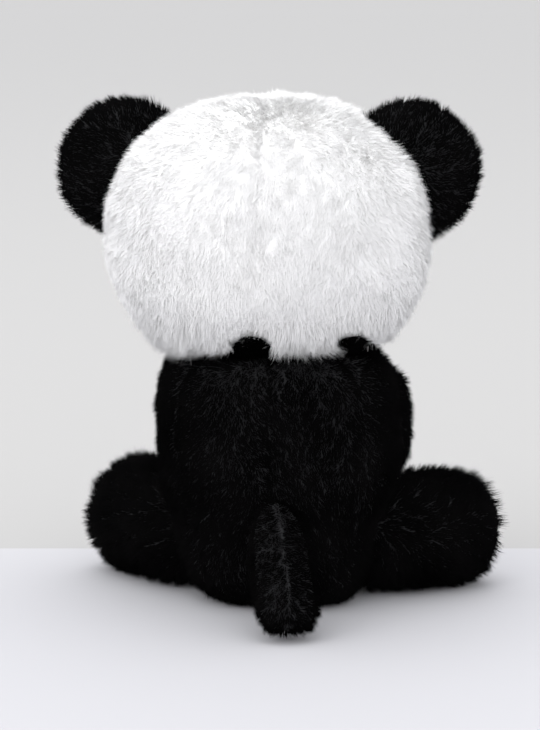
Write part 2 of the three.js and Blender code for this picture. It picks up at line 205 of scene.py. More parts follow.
def skin_piece(name, surface, columns, rows, look, body):
    """A closed skin: rings of points up a surface that is round in u, with a point at each pole."""
    u, v = np.meshgrid(np.arange(columns) / columns, np.arange(1, rows) / rows)
    poles = surface(np.zeros(2), np.array([0.0, 1.0]))
    points = np.concatenate([surface(u, v).reshape(-1, 3), poles])
    ring, step = np.meshgrid(np.arange(rows - 2) * columns, np.arange(columns), indexing="ij")
    ahead = (step + 1) % columns
    walls = np.stack([ring + step, ring + columns + step, ring + columns + ahead, ring + ahead], -1)
    c = np.arange(columns)
    after = (c + 1) % columns
    low, high = len(points) - 2, len(points) - 1
    top = (rows - 2) * columns
    floor = np.stack([np.full(columns, low), c, after], -1)
    cap = np.stack([np.full(columns, high), top + after, top + c], -1)
    faces = walls.reshape(-1, 4).tolist() + floor.tolist() + cap.tolist()
    mesh = bpy.data.meshes.new(name)
    mesh.from_pydata((points * MM).tolist(), [], faces)
    mesh.shade_smooth()
    piece = put(name, mesh, look)
    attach(piece, body)
    return piece


def padded_skin(name, surface, columns, rows, look, body, stands_for):
    """A closed skin over stuffing, in place of the plain solids it stands for."""
    piece = skin_piece(name, surface, columns, rows, look, body)
    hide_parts(*stands_for)
    return piece


def stand_on(surface, u, v):
    """The points of a surface and its outward normals, from small steps along v and u."""
    e = 1e-3
    low, high = np.clip(v - e, e, 1 - e), np.clip(v + e, 2 * e, 1)
    rise = surface(u, high) - surface(u, low)
    round_it = surface(u + e, v) - surface(u - e, v)
    return surface(u, v), unit(np.cross(rise, round_it))


CLOTH_WALL = 3.0  # the cloth with its pile pressed down
SKIN_FLOOR = 1.2  # the height of a skin that rests on its pressed pile


def filling(name, surface, middle, body, stands_for):
    """The fibre inside a skin: the same surface drawn in toward its middle by its wall, lumpy."""
    def lump(u, v):
        """The skin's point moved toward the middle line by the wall and a small ripple."""
        p = surface(u, v)
        return p - unit(p - middle) * (CLOTH_WALL + 0.7 * ripple(p, 11, 2))[..., None]

    padded_skin(name, lump, 64, 40, fibre, body, [stands_for])


def tufts(p, size, seed):
    """The tuft each point belongs to: the nearest of one random point in each cell of a 3-D grid.
    Returns the tuft's middle and three random numbers of its own."""
    cell = np.floor(p / size)
    best = np.full(len(p), np.inf)
    middle, own = np.zeros((len(p), 3)), np.zeros((len(p), 3))
    keys = np.array([[12.9898, 78.233, 37.719], [39.346, 11.135, 83.155], [73.156, 52.235, 9.151]])
    for step in np.ndindex(3, 3, 3):
        there = cell + np.array(step) - 1
        spot = np.modf(np.abs(np.sin(there @ keys.T + seed) * 43758.5453))[0]
        at = (there + spot) * size
        far = ((p - at) ** 2).sum(-1)
        near = far < best
        best = np.where(near, far, best)
        middle[near], own[near] = at[near], np.modf(spot[near] * 7.31)[0]
    return middle, own


FLOOR_MM = 0.25  # the lowest a hair may lie
PILE_SHARE = 1.0  # how much of the pile is made
ROOT_SUNK = 0.4  # how far a hair's root is below the skin
BLADE = np.array([[2, 1, 0], [0, 1, 3], [1, 2, 3], [2, 0, 3]])  # root end, an edge, broad side, an edge


def scatter(rng, surface, share, keep, density):
    """Roots at random on the part of a surface with u and v in share, evenly by area times keep,
    with the normals there."""
    (u0, u1), (v0, v1) = share
    across, up = 150, 110
    du, dv = (u1 - u0) / across, (v1 - v0) / up
    iu, iv = (g.ravel() for g in np.meshgrid(np.arange(across), np.arange(up)))
    ends = [surface(u0 + (iu + a) * du, v0 + (iv + b) * dv) for a, b in ((0, 0), (1, 1), (1, 0), (0, 1))]
    area = np.linalg.norm(np.cross(ends[1] - ends[0], ends[3] - ends[2]), axis=-1) / 2
    if keep is not None:
        area = area * keep((ends[0] + ends[1]) / 2)
    count = int(area.sum() * density * PILE_SHARE)
    cell = rng.choice(len(area), count, p=area / area.sum())
    u = u0 + (iu[cell] + rng.random(count)) * du
    v = v0 + (iv[cell] + rng.random(count)) * dv
    return stand_on(surface, u, v)


def blade_mesh(name, points, shade, tint):
    """One mesh of blades from their points, four to each, the normals that they are shaded by, and
    a map that holds each blade's tint across and its root to tip upward."""
    count = len(points)
    corners = (np.arange(count)[:, None, None] * 4 + BLADE).ravel()
    map_u = (tint[:, None] + np.array([0.0, 0.004, 0.008, 0.004]))[:, BLADE.ravel()].ravel()
    map_v = np.tile(np.array([0.02, 0.02, 0.02, 0.98])[BLADE.ravel()], count)
    mesh = bpy.data.meshes.new(name)
    mesh.vertices.add(count * 4)
    mesh.vertices.foreach_set("co", (points.reshape(-1) * MM).astype(np.float32))
    mesh.loops.add(len(corners))
    mesh.loops.foreach_set("vertex_index", corners.astype(np.int32))
    mesh.polygons.add(len(corners) // 3)
    mesh.polygons.foreach_set("loop_start", np.arange(0, len(corners), 3, dtype=np.int32))
    mesh.update(calc_edges=True)
    mesh.shade_smooth()
    shading = mesh.attributes.new("custom_normal", "FLOAT_VECTOR", "POINT")
    shading.data.foreach_set("vector", shade.reshape(-1).astype(np.float32))
    chart = mesh.uv_layers.new(name="OFBake")
    chart.data.foreach_set("uv", np.stack([map_u, map_v], -1).ravel().astype(np.float32))
    return mesh


def pile_piece(name, surface, share, body, look, slot, seed, comb, keep=None, *, density, length, width,
               lean, tuft=5.0, pull=0.4, soft=0.15, twist=0.5, grow=None):
    """The pile on a panel: a closed blade of three sides from each scattered root to a tip at
    length * grow along n + lean * comb, turned a little at random and drawn toward its tuft's own
    tip by pull. Its broad side faces out, give or take twist, and its shading leans from that
    side's own normal to the skin's by soft."""
    rng = np.random.default_rng(seed)
    root, normal = scatter(rng, surface, share, keep, density)
    count = len(root)
    middle, own = tufts(root, tuft, seed * 0.37)
    way = comb(root)
    way = unit(way - (way * normal).sum(-1, keepdims=True) * normal)
    aside = np.cross(normal, way)
    slope = lean * (0.7 + 0.6 * own[:, :1])
    tuft_way = unit(normal + slope * way + lean * (own[:, 1:2] - 0.5) * aside)
    hair_way = unit(tuft_way + rng.normal(0, 0.2, (count, 3)))
    tall = length * (0.85 + 0.3 * own[:, 2:3])
    if grow is not None:
        tall = tall * grow(root)[:, None]
    reach = tall * rng.uniform(0.6, 1.05, (count, 1))
    onto = middle - ((middle - root) * normal).sum(-1, keepdims=True) * normal
    tip = (1 - pull) * (root + hair_way * reach) + pull * (onto + tuft_way * reach)
    root = root - normal * ROOT_SUNK
    flat = unit(np.cross(tip - root, normal))
    inward = unit(np.cross(tip - root, flat))
    roll = rng.normal(0, twist, (count, 1))
    side = np.cos(roll) * flat + np.sin(roll) * inward
    other = np.cos(roll) * inward - np.sin(roll) * flat
    broad = width * rng.uniform(0.7, 1.25, (count, 1))
    angles = np.radians([90, 210, 330])
    base = [root + broad * (0.577 * np.cos(a) * side + 0.3 * np.sin(a) * other) for a in angles]
    points = np.stack([*base, tip], 1)
    points[..., 2] = np.maximum(points[..., 2], FLOOR_MM + 0.6 * rng.random((count, 1)))
    face_way = unit(soft * normal - (1 - soft) * other)
    shade = np.stack([other, face_way, face_way, face_way], 1)
    # Each hair's tint follows a slow ripple over the panel and a little noise: random tone on the white
    # pile, and on the black pile lighter and darker patches that stand in as painted sheen.
    tint = np.clip(0.5 + 0.22 * ripple(root, 32, 8) + rng.normal(0, 0.06, count), 0.02, 0.97)
    piece = put(name, blade_mesh(name, points, shade, tint), look)
    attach(piece, body)


EDGE_TOP = 166.0  # where the head's slope toward its lower edge begins


def hangs(p):
    """Pile that falls down and away from the toy's middle, swirled by slow ripples."""
    flow = np.zeros_like(p)
    flow[..., 0] = 0.35 * np.tanh((p[..., 0] - HEAD_AT[0]) / 3) + 0.8 * ripple(p, 60, 11)
    flow[..., 1] = 0.6 * ripple(p, 50, 12)
    flow[..., 2] = -1.0
    return flow


def head_hangs(p):
    """As the rest, but falling toward the back at the crown and outward near the lower edge."""
    away = unit((p - HEAD_AT) * [1, 1, 0])
    edge = smooth((EDGE_TOP - p[..., 2:]) / 20)
    crown = smooth((p[..., 2:] - 250) / 15)
    return hangs(p) * [0.6, 0.6, 1] + 1.3 * away * edge + away * crown


PATCH_AT, PATCH_HALF, PATCH_TILT = (31.0, 24.0), (15.0, 20.0), np.radians(28)
MUZZLE_SHAPE = (np.array([HEAD_AT[0], -64.0, 188.0]), np.array([23.5, 15.5, 16.5]), 2.0, 2.0, 2.0)
TORSO_SHAPE = (np.array([0.0, 0.0, 70.0]), np.array([60.5, 50.5, 70.5]), 2.4, 4.0, 6.0)
NOTCHES = ((8.5, 13.0, 9.0), (-42.0, 9.0, 8.0))  # x, half width and height where black shows
NOTCH_FOOT = 143.0
LONG_LOCKS = ((49, 20, 0.42), (-16, 13, 0.45))  # x, half width and extra length of a bunch


def in_patch(p, sign):
    """How far out a point is in an eye patch's tilted ellipse, 1 at its edge."""
    x = (p[..., 0] - HEAD_AT[0]) * sign - PATCH_AT[0]
    z = p[..., 2] - HEAD_AT[2] - PATCH_AT[1]
    long_way = np.cos(PATCH_TILT) * z - np.sin(PATCH_TILT) * x
    wide_way = np.cos(PATCH_TILT) * x + np.sin(PATCH_TILT) * z
    far = np.hypot(wide_way / PATCH_HALF[0], long_way / PATCH_HALF[1])
    return np.where(p[..., 1] < HEAD_AT[1], far, 9.0)


def in_notch(p, above=0.0):
    """Where the white pile over the back of the neck parts and black pile stands between: under
    parabolas, raised by above."""
    hit = np.zeros(p.shape[:-1], dtype=bool)
    for x, wide, tall in NOTCHES:
        across = np.abs(p[..., 0] - x) / wide
        top = NOTCH_FOOT + above + tall * (1 - across**2)
        hit |= (across < 1) & (p[..., 2] < top) & (p[..., 1] > 0)
    return hit


def head_keep(p):
    """Pile everywhere but on the shoulders, under the muzzle and under the two eye patches."""
    neck = depth_in(p, *TORSO_SHAPE) > 1.03
    muzzle = depth_in(p, *MUZZLE_SHAPE) > 0.97
    patches = (in_patch(p, 1) > 0.97) & (in_patch(p, -1) > 0.97)
    return neck & muzzle & patches & ~in_notch(p, 6)


def edge_keep(p):
    """The longer locks along the head's lower edge at the back and sides, thinning out upward."""
    band = smooth((EDGE_TOP - p[..., 2]) / 14) * (p[..., 1] > HEAD_AT[1] - 20)
    return head_keep(p) * band * ~in_notch(p, 10)


def edge_falls(p):
    """Locks that hang straight down on the head's slope and reach outward under its edge."""
    away = unit((p - HEAD_AT) * [1, 1, 0])
    slope = smooth((p[..., 2:] - 142) / 12)
    stray = 0.25 * ripple(p, 20, 20)[..., None] * [1, 0, 0]
    return np.array([0, 0, -1.0]) * slope + away * (1 - slope) + stray


def edge_grow(p):
    """Two bunches of longer locks, at the left and between the notches."""
    return 0.78 + sum(groove(p[..., 0] - x, wide, extra) for x, wide, extra in LONG_LOCKS)


white_cloth = cloth_look("white_backing", (0.95, 0.948, 0.944), (0.92, 0.917, 0.91))
black_cloth = cloth_look("black_backing", (0.008, 0.008, 0.009), (0.004, 0.004, 0.005), sheen=0.0)
fibre = cloth_look("polyester_fibre", (0.84, 0.84, 0.83), (0.7, 0.7, 0.69))
# The white pile's ramp goes from a greyer root to a whiter tip: painted shade at the roots between the
# hairs.
white_pile = pile_look(
    "white_pile",
    [(0.0, (0.96, 0.957, 0.95)), (0.5, (0.975, 0.973, 0.968)), (1.0, (0.985, 0.984, 0.98))],
    [(0.0, (0.975, 0.972, 0.965)), (0.5, (0.992, 0.991, 0.989)), (1.0, (1.0, 1.0, 1.0))],
    roughness=0.8,
    sheen=0.2,
    shine=0.2,
)
# The black pile's ramp goes from a darker root to a lighter tip: painted light on the tips.
black_pile = pile_look(
    "black_pile",
    [(0.0, (0.0028, 0.0028, 0.0029)), (0.6, (0.003, 0.0029, 0.003)), (1.0, (0.0034, 0.0033, 0.0034))],
    # Tints from half to 1.6 times the ramp: random tone whose lighter patches are painted sheen on the
    # black fur.
    [(0.0, (0.5, 0.5, 0.51)), (0.5, (0.9, 0.9, 0.91)), (1.0, (1.6, 1.56, 1.56))],
    roughness=1.0,
    sheen=0.0,
    shine=0.0,
)

padded_skin("head_skin", head_skin, 180, 110, white_cloth, "head",
            ["head_back_left", "head_back_right", "face_panel"])
filling("head_filling", head_skin, HEAD_AT, "head", "head_stuffing")
WHITE_COAT = {
    "density": 2.1, "length": 6.4, "width": 0.47, "lean": 1.25, "pull": 0.16, "soft": 1.0, "twist": 0.6,
}
for panel, share, seed in (
    ("head_back_left", (0.0, 0.25), 21),
    ("head_back_right", (-0.25, 0.0), 22),
    ("face_panel_left", (0.25, 0.5), 23),
    ("face_panel_right", (0.5, 0.75), 24),
):
    pile_piece(f"{panel}_pile", head_skin, (share, (0.0, 1.0)), "head", white_pile, "white_fur", seed,
               head_hangs, head_keep, tuft=6.0, **WHITE_COAT)

pile_piece("head_edge_pile", head_skin, ((-0.35, 0.35), (0.0, 0.45)), "head", white_pile, "white_fur", 25,
           edge_falls, edge_keep, density=2.9, length=11.5, width=0.38, lean=0.95, tuft=5.5, pull=0.25,
           soft=1.0, grow=edge_grow)

# ---- face ---------------------------------------------------------------------------------
# Two black patches are sewn on aslant, each with a safety eye pushed through and locked behind by
# a washer. The muzzle is a small padded cap with a satin-stitched nose and a stitched mouth.

EYE_AT, EYE_RADIUS = (27.0, 23.0), 6.5


def face_spot(x, z, lift=0.0):
    """The head block's front at x and z from its middle, lift proud of it, and its normal there:
    y comes from solving the block's rule, and the normal is the rule's gradient."""
    a, b, c = HEAD_HALF + lift
    across, low_power, high_power = HEAD_SHAPE[2:]
    power = np.where(z < 0, low_power, high_power)
    flat, high = (np.abs(x) / a) ** across, (np.abs(z) / c) ** power
    level = np.maximum((1 - high) ** (across / power) - flat, 1e-6) ** (1 / across)
    ring = (flat + level**across) ** (power / across - 1)
    normal = unit(np.stack([
        ring * np.sign(x) * (np.abs(x) / a) ** (across - 1) / a,
        -ring * level ** (across - 1) / b,
        np.sign(z) * (np.abs(z) / c) ** (power - 1) / c,
    ], -1))
    return np.stack([HEAD_AT[0] + x, HEAD_AT[1] - b * level, HEAD_AT[2] + z], -1), normal


def outward(p):
    """Pile combed away from the head's middle line, for the ears and patches."""
    flow = (p - np.array([HEAD_AT[0], 0.0, 190.0])) * [1, 0, 1]
    flow = unit(flow)
    flow[..., 0] += 0.5 * ripple(p, 40, 13)
    flow[..., 2] += 0.5 * ripple(p, 40, 14)
    return flow


eye_look, *_ = mottled_look(
    "black_eye_plastic", [(0.35, (0.004, 0.003, 0.003)), (0.75, (0.012, 0.009, 0.008))], 500,
    Roughness=0.16, Specular_IOR_Level=0.12)

for side, sign in (("left", 1), ("right", -1)):
    def patch_skin(u, v, sign=sign):
        """A lens over the ellipse: the radius is sin(pi v), and the lift from behind the cloth to
        in front of it is -cos(pi v)."""
        r, angle = np.sin(np.pi * np.clip(v, 0, 1)), -TURN * u * sign
        wide, long_way = PATCH_HALF[0] * r * np.cos(angle), PATCH_HALF[1] * r * np.sin(angle)
        x = PATCH_AT[0] + np.cos(PATCH_TILT) * wide - np.sin(PATCH_TILT) * long_way
        z = PATCH_AT[1] + np.sin(PATCH_TILT) * wide + np.cos(PATCH_TILT) * long_way
        point, normal = face_spot(x * sign, z)
        return point + normal * (1.0 - 1.4 * np.cos(np.pi * np.clip(v, 0, 1)))[..., None]

    eye_spot, eye_way = face_spot(EYE_AT[0] * sign, EYE_AT[1], 3.6)

    def round_the_eye(p, spot=eye_spot):
        """No pile under the eye."""
        return np.linalg.norm(p - spot, axis=-1) > EYE_RADIUS + 0.3

    padded_skin(f"patch_{side}", patch_skin, 96, 32, black_cloth, "head", [f"eye_patch_{side}"])
    pile_piece(f"patch_{side}_pile", patch_skin, ((0.0, 1.0), (0.45, 1.0)), "head", black_pile, "black_fur",
               50 + sign, outward, round_the_eye, density=3.0, length=5.5, width=0.5, lean=1.2, tuft=4.0)

    eye_side = unit(np.cross(eye_way, [0.0, 0.0, 1.0]))
    eye_up = np.cross(eye_side, eye_way)

    def eye_turned(u, v, spot=eye_spot, way=eye_way, side_way=eye_side, up_way=eye_up):
        """A lathe turning: from the shank's end, out under the rim, round it, and over a dome whose
        height is an ellipse of its radius."""
        steps = np.array([0.0, 0.08, 0.3, 0.38, 0.44, 0.5])
        radii = np.array([0.0, 2.1, 2.1, 5.7, 6.35, EYE_RADIUS])
        heights = np.array([-15.0, -15.0, -0.4, -0.4, -0.1, 0.5])
        t = np.clip((v - 0.5) / 0.5, 0, 1) * np.pi / 2
        r = np.where(v < 0.5, np.interp(v, steps, radii), EYE_RADIUS * np.cos(t))
        h = np.where(v < 0.5, np.interp(v, steps, heights), 0.5 + 4.3 * np.sin(t))
        ring = np.cos(TURN * u)[..., None] * side_way + np.sin(TURN * u)[..., None] * up_way
        return spot + ring * r[..., None] + way * h[..., None]

    eye = skin_piece(f"eye_{side}", eye_turned, 64, 80, eye_look, "head")
    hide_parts(f"safety_eye_{side}")


def muzzle_skin(u, v):
    """A small egg on the front of the head."""
    return block(u, v, *MUZZLE_SHAPE)


MOUTH_TOP, MOUTH_DROP, MOUTH_WIDE = 190.5, 9.0, 11.0
NOSE_AT, NOSE_HALF = np.array([HEAD_AT[0], -80.3, 195.0]), np.array([8.0, 4.2, 5.4])


def mouth_line(t, sign):
    """Half the mouth, from under the nose down and out to one side: straight down for the first
    third, then a quarter turn and a smile that rises at its end."""
    fall = np.clip(t / 0.35, 0, 1)
    out = np.clip((t - 0.35) / 0.65, 0, 1)
    x = sign * MOUTH_WIDE * np.sin(out * 1.35)
    z = MOUTH_TOP - MOUTH_DROP * fall - 3.0 * np.sin(out * np.pi) + 2.0 * out**2
    return HEAD_AT[0] + x, z


def on_muzzle(x, z, lift):
    """The muzzle's front at x and z: y from solving its ellipsoid with lift added to its sizes."""
    at, half = MUZZLE_SHAPE[0], MUZZLE_SHAPE[1] + lift
    rest = 1 - ((x - at[0]) / half[0]) ** 2 - ((z - at[2]) / half[2]) ** 2
    return np.stack([x, at[1] - half[1] * np.sqrt(np.maximum(rest, 0.02)), z], -1)


def muzzle_keep(p):
    """Pile on the muzzle but not inside the head, under the nose or along the mouth."""
    nose_free = np.hypot((p[..., 0] - NOSE_AT[0]) / 7.5, (p[..., 2] - NOSE_AT[2]) / 5.0) > 1
    mouth_free = np.ones(p.shape[:-1], dtype=bool)
    for sign in (-1, 1):
        x, z = mouth_line(np.linspace(0, 1, 24), sign)
        near = np.hypot(p[..., 0, None] - x, p[..., 2, None] - z).min(-1)
        mouth_free = mouth_free & (near > 1.3)
    front = p[..., 1] < MUZZLE_SHAPE[0][1]
    return (depth_in(p, *HEAD_SHAPE) > 0.99) & (nose_free | ~front) & (mouth_free | ~front)


def muzzle_comb(p):
    """Short pile brushed out from the nose and down."""
    flow = p - np.array([HEAD_AT[0], -80.0, 196.0])
    flow[..., 2] -= 4
    return flow


padded_skin("muzzle_skin", muzzle_skin, 96, 60, white_cloth, "head", ["muzzle_panel"])
filling("muzzle_filling", muzzle_skin, MUZZLE_SHAPE[0], "head", "muzzle_stuffing")
pile_piece("muzzle_pile", muzzle_skin, ((0.0, 1.0), (0.0, 1.0)), "head", white_pile, "white_fur", 55,
           muzzle_comb, muzzle_keep, density=3.2, length=4.6, width=0.55, lean=1.1, tuft=4.0, pull=0.25)

thread_look, *_ = mottled_look(
    "black_thread", [(0.35, (0.006, 0.006, 0.007)), (0.7, (0.024, 0.023, 0.025))], 1400,
    Roughness=0.42, Sheen_Weight=0.2)


def nose_skin(u, v):
    """A soft triangle: an egg narrowed by half toward its bottom, ridged by upright stitches."""
    p = block(u, v, np.zeros(3), NOSE_HALF, 2.4, 2.2, 3.0)
    p[..., 0] *= 1 - 0.42 * smooth(0.5 - p[..., 2] / (2 * NOSE_HALF[2]))
    ridge = 0.14 * np.abs(np.sin(p[..., 0] * np.pi / 0.75)) * (p[..., 1] < 0)
    p[..., 1] -= ridge
    return p + NOSE_AT


nose = skin_piece("nose_satin", nose_skin, 140, 48, thread_look, "head")
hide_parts("nose")

for side, sign in (("left", 1), ("right", -1)):
    def mouth_cord(u, v, sign=sign):
        """A round thread of two twisted strands carried along the mouth's line, closed at its ends
        by shrinking to nothing."""
        t = np.clip(v, 0, 1)
        x, z = mouth_line(t, sign)
        middle = on_muzzle(x, z, 0.9)
        x2, z2 = mouth_line(np.clip(t + 0.01, 0, 1.02), sign)
        ahead = unit(on_muzzle(x2, z2, 0.9) - middle + np.array([0, 0, -1e-6]))
        wide = unit(np.cross(ahead, [0.0, -1.0, 0.0]))
        deep = np.cross(wide, ahead)
        close = np.sqrt(np.clip(1 - np.abs(2 * t - 1) ** 12, 0, 1))
        r = close * (0.72 + 0.14 * np.cos(2 * (TURN * u - t * 60)))
        across, down = np.cos(-TURN * u) * r, np.sin(-TURN * u) * r
        return middle + across[..., None] * wide + down[..., None] * deep

    mouth = skin_piece(f"mouth_{side}", mouth_cord, 20, 120, thread_look, "head")

washer_look, *_ = mottled_look(
    "washer_plastic", [(0.3, (0.62, 0.62, 0.6)), (0.7, (0.72, 0.72, 0.7))], 300, Roughness=0.45)
for side in ("left", "right"):
    washer = bpy.data.objects[f"eye_washer_{side}"]
    washer.data.materials.clear()
    washer.data.materials.append(washer_look)

# ---- torso --------------------------------------------------------------------------------
# The body is a tall boxy bag of black fur cloth with a white belly. Its back has a centre seam,
# into which the tail is sewn, and a side panel on each side; a flat panel closes the seat.

BACK_EDGE, SIDE_EDGE = 50, 110  # bearings of the side panels' two seams, in degrees from +Y
LEG_HIP = np.array([49.0, -17.0, 30.0])


def torso_skin(u, v):
    """The torso's block, drawn in toward the seat, cut flat under it, with long folds and the
    seams pulled in."""
    p = block(u, v, *TORSO_SHAPE)
    out = unit((p - TORSO_SHAPE[0]) / TORSO_SHAPE[1])
    swell = 1.8 * ripple(p, 70, 5) + 0.6 * ripple(p, 26, 6)
    spin = np.arctan2(p[..., 0], p[..., 1])
    seams = groove(p[..., 0], 3.0, 1.3) * (p[..., 1] > 0)
    for edge in (BACK_EDGE, SIDE_EDGE):
        seams = seams + groove((np.abs(np.degrees(spin)) - edge) * 0.95, 3.2, 1.8)
    p = p + out * (swell - seams)[..., None]
    waist = 1 - 0.12 * smooth((70 - p[..., 2]) / 40) + 0.045 * smooth((p[..., 2] - 45) / 30)
    p[..., :2] *= waist[..., None]
    p[..., 2] = np.maximum(p[..., 2], SKIN_FLOOR)
    return p


def torso_keep(p):
    """No pile under the head or inside the legs, and little under the seat."""
    legs = np.linalg.norm((p - LEG_HIP * np.sign(p[..., :1]) ** [1, 0, 0]), axis=-1) > 20
    head_above = (p[..., 2] < 125) | (depth_in(p, *HEAD_SHAPE) > 0.985)
    return legs * head_above * np.where(p[..., 2] < 2, 0.35, 1.0)


BACK, SIDE, BELLY_END = BACK_EDGE / 360, SIDE_EDGE / 360, 1 - SIDE_EDGE / 360  # shares of a turn
SEAT = 0.19  # how far up the torso's v the seat panel reaches
torso_panels = {
    "back_panel_left": ((0.0, BACK), (SEAT, 1.0), black_pile),
    "side_panel_left": ((BACK, SIDE), (SEAT, 1.0), black_pile),
    "back_panel_right": ((-BACK, 0.0), (SEAT, 1.0), black_pile),
    "side_panel_right": ((-SIDE, -BACK), (SEAT, 1.0), black_pile),
    "belly_panel": ((SIDE, BELLY_END), (SEAT, 1.0), white_pile),
    "seat_panel": ((0.0, 1.0), (0.0, SEAT), black_pile),
}
torso = padded_skin("torso_skin", torso_skin, 180, 110, black_cloth, "torso", torso_panels)
filling("torso_filling", torso_skin, TORSO_SHAPE[0], "torso", "torso_stuffing")
torso.data.materials.append(white_cloth)
middles = np.zeros(len(torso.data.polygons) * 3)
torso.data.polygons.foreach_get("center", middles)
middles = middles.reshape(-1, 3) / MM
bearing = np.abs(np.degrees(np.arctan2(middles[:, 0], middles[:, 1])))
on_belly = (bearing > SIDE_EDGE) & (middles[:, 2] > 8)
torso.data.polygons.foreach_set("material_index", on_belly.astype(np.int32))
BLACK_COAT = {
    "density": 2.6, "length": 6.6, "width": 0.46, "lean": 0.9, "tuft": 5.5, "pull": 0.25, "soft": 0.85,
}
for seed, (panel, (round_it, up, look)) in enumerate(torso_panels.items(), 31):
    slot, coat = ("white_fur", WHITE_COAT) if look is white_pile else ("black_fur", BLACK_COAT)
    pile_piece(f"{panel}_pile", torso_skin, (round_it, up), "torso", look, slot, seed, hangs, torso_keep,
               **coat)


def rises(p):
    """Black pile at the neck stands up against the head."""
    flow = np.zeros_like(p)
    flow[..., 0] = 0.4 * ripple(p, 30, 19)
    flow[..., 2] = 1.0
    return flow


def notch_base(u, v):
    """The back of the head, just outside its white pile, where the neck's black pile lies on it."""
    p, normal = stand_on(head_skin, u, v)
    return p + normal * 2.6


pile_piece("neck_pile", notch_base, ((-0.2, 0.2), (0.0, 0.35)), "torso", black_pile, "black_fur", 39, rises,
           lambda p: in_notch(p) & (depth_in(p, *TORSO_SHAPE) > 0.9), density=5.5, length=8.0, width=0.6,
           lean=1.6, tuft=5.0, soft=0.85)

NECK_AT, NECK_HALF = np.array([3.0, -3.0, 158.0]), np.array([22.0, 22.0, 22.5])


def neck_skin(u, v):
    """A ball of fibre that joins the torso's filling to the head's, lumpy."""
    p = block(u, v, NECK_AT, NECK_HALF, 2.0, 2.0, 2.0)
    return p + unit(p - NECK_AT) * (0.6 * ripple(p, 12, 7))[..., None]


padded_skin("neck_filling", neck_skin, 64, 40, fibre, "neck", ["neck_stuffing"])

pouch_cloth = cloth_look("pouch_cotton", (0.62, 0.58, 0.5), (0.5, 0.46, 0.4))
POUCH_AT, POUCH_HALF = np.array([0.0, 14.0, 24.0]), np.array([24.3, 20.3, 14.3])


def pouch_skin(u, v):
    """A pillow of cotton, pebbled by the pellets inside it."""
    p = block(u, v, POUCH_AT, POUCH_HALF, 3.0, 2.6, 2.6)
    return p + unit(p - POUCH_AT) * (0.5 * ripple(p, 6, 17))[..., None]


padded_skin("pouch_skin", pouch_skin, 120, 70, pouch_cloth, "torso", ["pellet_pouch"])

# ---- ears ---------------------------------------------------------------------------------
# Each ear is two half-moons of black fur sewn round the edge, turned, lightly padded, and caught
# into the head's side seams.

EAR_AT = np.array([77.0, -2.0, 30.4])
EAR_HALF = np.array([35.5, 10.5, 35.5])


def head_free(p):
    """No pile where an ear goes into the head."""
    return depth_in(p, *HEAD_SHAPE) > 0.97


for side, sign in (("left", 1), ("right", -1)):
    ear_at = HEAD_AT + EAR_AT * [sign, 1, 1]

    def ear_skin(u, v, at=ear_at):
        """A thin round cushion with a soft edge and a slow ripple."""
        p = block(u, v, at, EAR_HALF, 2.0, 2.0, 2.0)
        return p + unit((p - at) / EAR_HALF) * (0.8 * ripple(p, 38, 9))[..., None]

    padded_skin(f"ear_skin_{side}", ear_skin, 96, 60, black_cloth, f"ear_{side}",
                [f"ear_back_{side}", f"ear_front_{side}"])
    filling(f"ear_filling_{side}", ear_skin, ear_at, f"ear_{side}", f"ear_wadding_{side}")
    for half, share in (("back", (-0.25, 0.25)), ("front", (0.25, 0.75))):
        pile_piece(f"ear_{half}_{side}_pile", ear_skin, (share, (0.0, 1.0)), f"ear_{side}", black_pile,
                   "black_fur", 41 + 2 * sign + (half == "back"), outward, head_free, **BLACK_COAT)

# ---- legs ---------------------------------------------------------------------------------
# Each leg is a fat tube of black fur with a round sole, sewn to the hip and splayed on the floor.

LEG_SPLAY = {"left": np.radians(46), "right": np.radians(62)}
LEG_FROM, LEG_TO = -22.0, 71.0
LEG_COAT = {**BLACK_COAT, "length": 9.5, "tuft": 7.0, "pull": 0.4, "lean": 0.85}
SOLE_COAT = {**BLACK_COAT, "length": 4.0, "lean": 0.6}
SOLE = 0.84  # where along the leg's v its sole begins


def limb(u, v, start, end, wide, width, height, ends):
    """A stuffed tube from start to end. Around it the section is an ellipse with half sizes
    width(t) and height(t); toward each end both shrink as (1 - |2t - 1|^power)^(1/power)."""
    t = (1 - np.cos(np.pi * np.clip(v, 0, 1))) / 2
    far = np.abs(2 * t - 1)
    power = np.where(t < 0.5, ends[0], ends[1])
    close = np.maximum(1 - far**power, 0) ** (1 / power)
    along = unit(end - start)
    deep = np.cross(along, wide)
    a = TURN * u
    across = (np.sin(a) * close * width(t))[..., None] * wide
    down = (np.cos(a) * close * height(t))[..., None] * deep
    return start + (end - start) * t[..., None] + across + down


def torso_free(p):
    """No pile where a limb goes into the torso."""
    return depth_in(p, *TORSO_SHAPE) > 0.9


